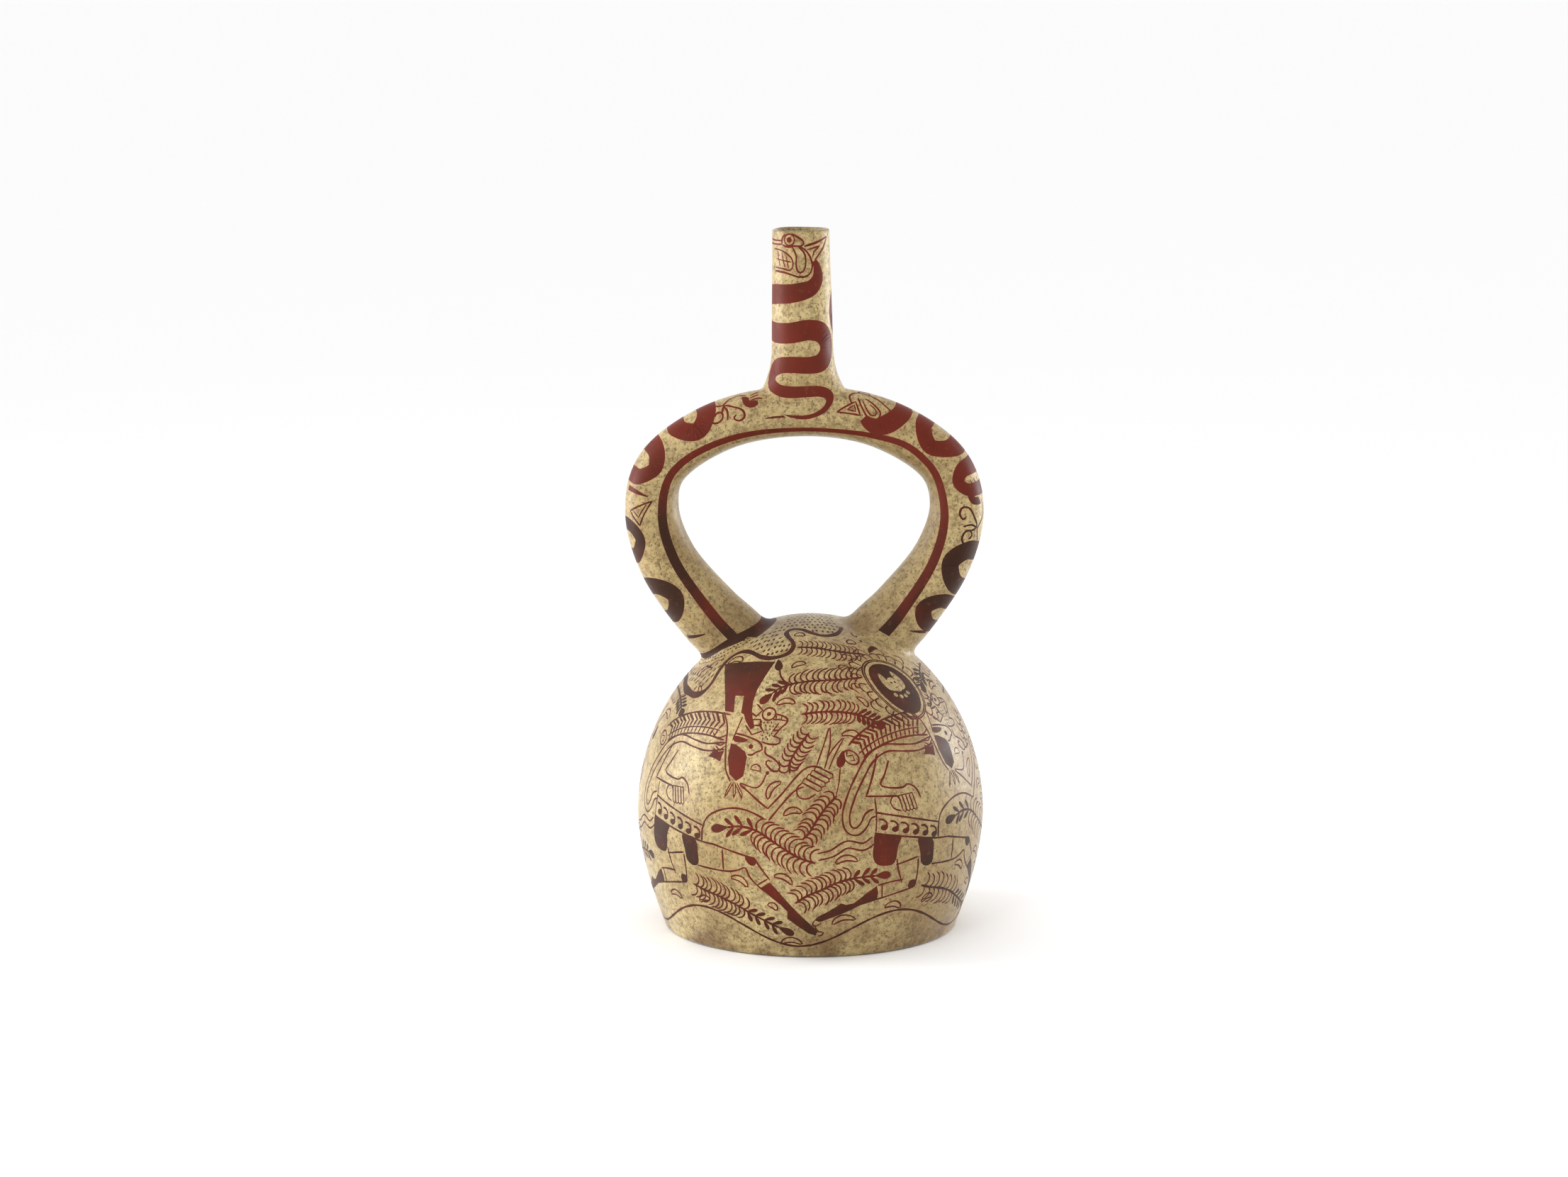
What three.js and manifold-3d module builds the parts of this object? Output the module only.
// Stirrup spout bottle in painted fired clay: a round chamber on a flat foot, a hollow stirrup that rises from
// the dome on two arms and closes over it in a crown, and a straight spout on the crown. The potter joined the
// parts while the clay was soft, so it is one piece, hollow all through: the spout opens into the stirrup, and
// both arms of the stirrup open into the chamber.
// Millimetres, +Z up. The origin is the middle of the underside, X runs along the stirrup, -Y is the front.

import * as THREE from "three";
import { mergeVertices } from "three/addons/utils/BufferGeometryUtils.js";
import Module from "manifold-3d";

// Chamber
const FOOT_RADIUS = 60.4;
const FOOT_EDGE_RADIUS = 1.6;
const BELLY_RADIUS = 71.9;
const BELLY_HEIGHT = 48;
const WALL_POWER = 1.7; // how the wall draws in from the belly to the foot
const DOME_RISE = 82; // from the belly up to the top of the dome
const DOME_POWER = 1.96; // 2 would be half an ellipse
const CHAMBER_WALL = 5;
const FLOOR_THICKNESS = 6;

// Stirrup and spout lean a little together, and stand a little off the chamber's axis, as they were set on by
// hand. Their sizes are given upright, from the point on the dome that they lean about.
const LEAN_DEGREES = 0.85; // towards -X
const STIRRUP_OFFSET = -1.8;

// Stirrup. An arm's centre line is widest at its side. Each other station stands in from there, towards the
// middle, and rises above the top of the dome, and has the tube's outer radius. Leftward is how much further
// the left arm reaches there. The root has no rise of its own, because it lies on the dome.
const ARM_REACH = 62.6; // from the stirrup's middle to the centre line at the side
const CROWN = { rise: 84.9, radius: 10.5 };
const BROW = { inset: 30.6, rise: 79.4, radius: 10.5, leftward: 1.8 };
const SHOULDER = { inset: 5.4, rise: 62.4, radius: 10.6, leftward: 1.5 };
const SIDE = { inset: 0, rise: 45, radius: 11.3, leftward: 0.3 };
const CALF = { inset: 5.8, rise: 23.8, radius: 12.4, leftward: 0 };
const ANKLE = { inset: 22.2, rise: 1.4, radius: 13.9, leftward: 0 };
const ROOT = { inset: 31.8, radius: 14.5, leftward: 0 };
const ROOT_DEPTH = 11; // how far the arm is let into the dome before the chamber is hollowed
const ROOT_FILLET = 2.4; // how far the clay is drawn out round the root
const ROOT_FILLET_LENGTH = 7;
const STIRRUP_WALL = 3.8;

// Spout
const SPOUT_LENGTH = 75; // from the crown's centre line to the rim
const SPOUT_RADIUS = 12.6; // just above the flare
const RIM_RADIUS = 11.6;
const FLARE_START = 27; // above the crown's centre line
const FLARE_END = 10;
const FLARE_WIDTH = 3.9; // how far the foot of the spout spreads along the crown at FLARE_END
const FLARE_POWER = 2.2;
const RIM_WALL = 2.6;
const RIM_EDGE = 0.6;

// Facets
const CHAMBER_SIDES = 56;
const WALL_ROWS = 7;
const DOME_ROWS = 13;
const CAVITY_SIDES = 32;
const CAVITY_ROWS = 8;
const TUBE_SIDES = 22;
const TUBE_STEPS = 50;
const BORE_SIDES = 12;
const BORE_STEPS = 36;
const SPOUT_SIDES = 28;
const SPOUT_ROWS = 12;
const EDGE_STEPS = 3;

const DOME_TOP = BELLY_HEIGHT + DOME_RISE;
const STIRRUP_BORE = CROWN.radius - STIRRUP_WALL;
const ROOT_REACH = ARM_REACH - ROOT.inset;
const ROOT_RISE = riseOnDome(ROOT_REACH);

const wasm = await Module();
wasm.setup();

// A closed three.js geometry as a solid that can be joined and cut.
function solidOf(geometry) {
  const bare = geometry.clone();
  bare.deleteAttribute("normal");
  bare.deleteAttribute("uv");
  const merged = mergeVertices(bare, 1e-4);
  const corners = [];
  for (let i = 0; i < merged.index.count; i += 3) {
    const [a, b, c] = [0, 1, 2].map((k) => merged.index.getX(i + k));
    if (a !== b && b !== c && c !== a) corners.push(a, b, c);
  }
  return new wasm.Manifold(
    new wasm.Mesh({
      numProp: 3,
      vertProperties: merged.attributes.position.array,
      triVerts: new Uint32Array(corners),
    }),
  );
}

// A solid as a three.js geometry, each facet with its own normal.
function geometryOf(solid) {
  const mesh = solid.getMesh();
  const geometry = new THREE.BufferGeometry();
  const places = new Float32Array(mesh.numVert * 3);
  for (let i = 0; i < mesh.numVert; i++) {
    const at = i * mesh.numProp;
    places.set(mesh.vertProperties.subarray(at, at + 3), i * 3);
  }
  geometry.setAttribute("position", new THREE.BufferAttribute(places, 3));
  geometry.setIndex(new THREE.BufferAttribute(mesh.triVerts, 1));
  const faceted = geometry.toNonIndexed();
  faceted.computeVertexNormals();
  return faceted;
}

// A turned form about Z. The profile's points give radius and height, from the bottom of the axis to its top.
function turned(profile, sides) {
  return new THREE.LatheGeometry(profile, sides).rotateX(Math.PI / 2);
}

// From upright, with the dome's top at the origin, to the lean and the place of the stirrup.
function leaning(geometry) {
  geometry.rotateY(THREE.MathUtils.degToRad(-LEAN_DEGREES));
  return geometry.translate(STIRRUP_OFFSET, 0, DOME_TOP);
}

function smoothstep(t) {
  const u = Math.min(Math.max(t, 0), 1);
  return u * u * (3 - 2 * u);
}

// The chamber's outer radius below the belly.
function wallRadius(height) {
  const below = (BELLY_HEIGHT - height) / BELLY_HEIGHT;
  return BELLY_RADIUS - (BELLY_RADIUS - FOOT_RADIUS) * below ** WALL_POWER;
}

// The dome's surface at a distance from the axis, as a rise above the dome's top, so it is below zero.
function riseOnDome(out) {
  const up = (1 - (out / BELLY_RADIUS) ** DOME_POWER) ** (1 / DOME_POWER);
  return DOME_RISE * (up - 1);
}

// The dome's points from the belly up to the axis, without the belly's own.
function domeProfile(radius, rise, rows) {
  return Array.from({ length: rows }, (_, i) => {
    const angle = ((i + 1) / rows) * (Math.PI / 2);
    const out = i + 1 === rows ? 0 : Math.cos(angle) ** (2 / DOME_POWER);
    return new THREE.Vector2(radius * out, BELLY_HEIGHT + rise * Math.sin(angle) ** (2 / DOME_POWER));
  });
}

function chamberBody() {
  const edge = new THREE.QuadraticBezierCurve(
    new THREE.Vector2(FOOT_RADIUS - FOOT_EDGE_RADIUS, 0),
    new THREE.Vector2(FOOT_RADIUS, 0),
    new THREE.Vector2(wallRadius(FOOT_EDGE_RADIUS), FOOT_EDGE_RADIUS),
  );
  const profile = [new THREE.Vector2(0, 0), ...edge.getPoints(EDGE_STEPS)];
  for (let i = 1; i <= WALL_ROWS; i++) {
    const height = FOOT_EDGE_RADIUS + ((BELLY_HEIGHT - FOOT_EDGE_RADIUS) * i) / WALL_ROWS;
    profile.push(new THREE.Vector2(wallRadius(height), height));
  }
  profile.push(...domeProfile(BELLY_RADIUS, DOME_RISE, DOME_ROWS));
  return turned(profile, CHAMBER_SIDES);
}

// The chamber's hollow: the same form, a wall's thickness inside.
function chamberCavity() {
  const profile = [new THREE.Vector2(0, FLOOR_THICKNESS)];
  for (let i = 0; i <= CAVITY_ROWS; i++) {
    const height = FLOOR_THICKNESS + ((BELLY_HEIGHT - FLOOR_THICKNESS) * i) / CAVITY_ROWS;
    profile.push(new THREE.Vector2(wallRadius(height) - CHAMBER_WALL, height));
  }
  profile.push(...domeProfile(BELLY_RADIUS - CHAMBER_WALL, DOME_RISE - CHAMBER_WALL, CAVITY_ROWS));
  return turned(profile, CAVITY_SIDES);
}

// The stirrup's centre line from inside the left root to inside the right one. X and Z are places, and Y
// carries the tube's outer radius, so that one smooth curve gives both.
function stirrupCurve() {
  function arm(sign) {
    const points = [{ ...ROOT, rise: ROOT_RISE }, ANKLE, CALF, SIDE, SHOULDER, BROW].map((station) => {
      const reach = ARM_REACH - station.inset + (sign < 0 ? station.leftward : 0);
      return new THREE.Vector3(sign * reach, station.radius, station.rise);
    });
    const inward = new THREE.Vector3(points[0].x - points[1].x, 0, points[0].z - points[1].z).normalize();
    return [points[0].clone().addScaledVector(inward, ROOT_DEPTH), ...points];
  }
  const crown = new THREE.Vector3(0, CROWN.radius, CROWN.rise);
  return new THREE.CatmullRomCurve3([...arm(-1), crown, ...arm(1).reverse()], false, "centripetal");
}

// A tube along the curve: a cylinder whose rings are set square to the curve, at the radius asked for there.
function tubeAlong(curve, radiusAt, sides, steps) {
  const tube = new THREE.CylinderGeometry(1, 1, 1, sides, steps);
  const places = tube.getAttribute("position");
  const across = new THREE.Vector3(0, 1, 0);
  for (let i = 0; i < places.count; i++) {
    const t = Math.min(Math.max(places.getY(i) + 0.5, 0), 1);
    const centre = curve.getPointAt(t);
    const radius = radiusAt(centre);
    centre.y = 0;
    const tangent = curve.getTangentAt(t);
    tangent.y = 0;
    const outward = tangent.clone().normalize().cross(across);
    centre.addScaledVector(outward, radius * places.getX(i));
    centre.addScaledVector(across, radius * places.getZ(i));
    places.setXYZ(i, centre.x, centre.y, centre.z);
  }
  return leaning(tube);
}

// The tube's outer radius, drawn out into a fillet close to the dome.
function armRadius(centre) {
  const away = Math.hypot(Math.abs(centre.x) - ROOT_REACH, centre.z - ROOT_RISE);
  const near = centre.z < ROOT_RISE ? 1 : Math.max(0, 1 - away / ROOT_FILLET_LENGTH);
  return centre.y + ROOT_FILLET * near * near;
}

function stirrupBody() {
  return tubeAlong(stirrupCurve(), armRadius, TUBE_SIDES, TUBE_STEPS);
}

function stirrupBore() {
  return tubeAlong(stirrupCurve(), (centre) => centre.y - STIRRUP_WALL, BORE_SIDES, BORE_STEPS);
}

// The spout's outer radius along the crown and across it, at a height above the crown's centre line. Its foot
// spreads along the crown, and narrows across it until it is flush with the tube's sides.
function spoutRadii(height) {
  const taper = Math.max(0, height - FLARE_START) / (SPOUT_LENGTH - FLARE_START);
  const straight = SPOUT_RADIUS + (RIM_RADIUS - SPOUT_RADIUS) * taper;
  const spread = Math.max(0, (FLARE_START - height) / (FLARE_START - FLARE_END));
  const flush = CROWN.radius + (straight - CROWN.radius) * smoothstep(height / FLARE_START);
  return { along: straight + FLARE_WIDTH * spread ** FLARE_POWER, across: Math.min(straight, flush) };
}

function spoutBody() {
  const profile = [new THREE.Vector2(0, 0)];
  for (let i = 0; i <= SPOUT_ROWS; i++) {
    const share = (i / SPOUT_ROWS) ** 1.5;
    profile.push(new THREE.Vector2(1, (SPOUT_LENGTH - RIM_EDGE) * share));
  }
  profile.push(new THREE.Vector2(1 - RIM_EDGE / RIM_RADIUS, SPOUT_LENGTH));
  profile.push(new THREE.Vector2(0, SPOUT_LENGTH));
  const spout = turned(profile, SPOUT_SIDES);
  const places = spout.getAttribute("position");
  for (let i = 0; i < places.count; i++) {
    const { along, across } = spoutRadii(places.getZ(i));
    places.setXYZ(i, places.getX(i) * along, places.getY(i) * across, places.getZ(i));
  }
  return leaning(spout.translate(0, 0, CROWN.rise));
}

// The spout's bore narrows down to the stirrup's, and opens past the rim.
function spoutBore() {
  const mouth = RIM_RADIUS - RIM_WALL;
  const profile = [
    new THREE.Vector2(0, 0),
    new THREE.Vector2(STIRRUP_BORE, 0),
    new THREE.Vector2(mouth, SPOUT_LENGTH - RIM_EDGE),
    new THREE.Vector2(mouth + RIM_EDGE, SPOUT_LENGTH),
    new THREE.Vector2(mouth + RIM_EDGE, SPOUT_LENGTH + RIM_RADIUS),
    new THREE.Vector2(0, SPOUT_LENGTH + RIM_RADIUS),
  ];
  return leaning(turned(profile, SPOUT_SIDES).translate(0, 0, CROWN.rise));
}

function vessel() {
  const clay = solidOf(chamberBody()).add(solidOf(stirrupBody())).add(solidOf(spoutBody()));
  const hollow = solidOf(chamberCavity()).add(solidOf(stirrupBore())).add(solidOf(spoutBore()));
  const mesh = new THREE.Mesh(
    geometryOf(clay.subtract(hollow)),
    new THREE.MeshStandardMaterial({ color: 0xc4ab78, roughness: 0.5, metalness: 0 }),
  );
  mesh.name = "vessel";
  return mesh;
}

const part = new THREE.Group();
part.add(vessel());

export default part;
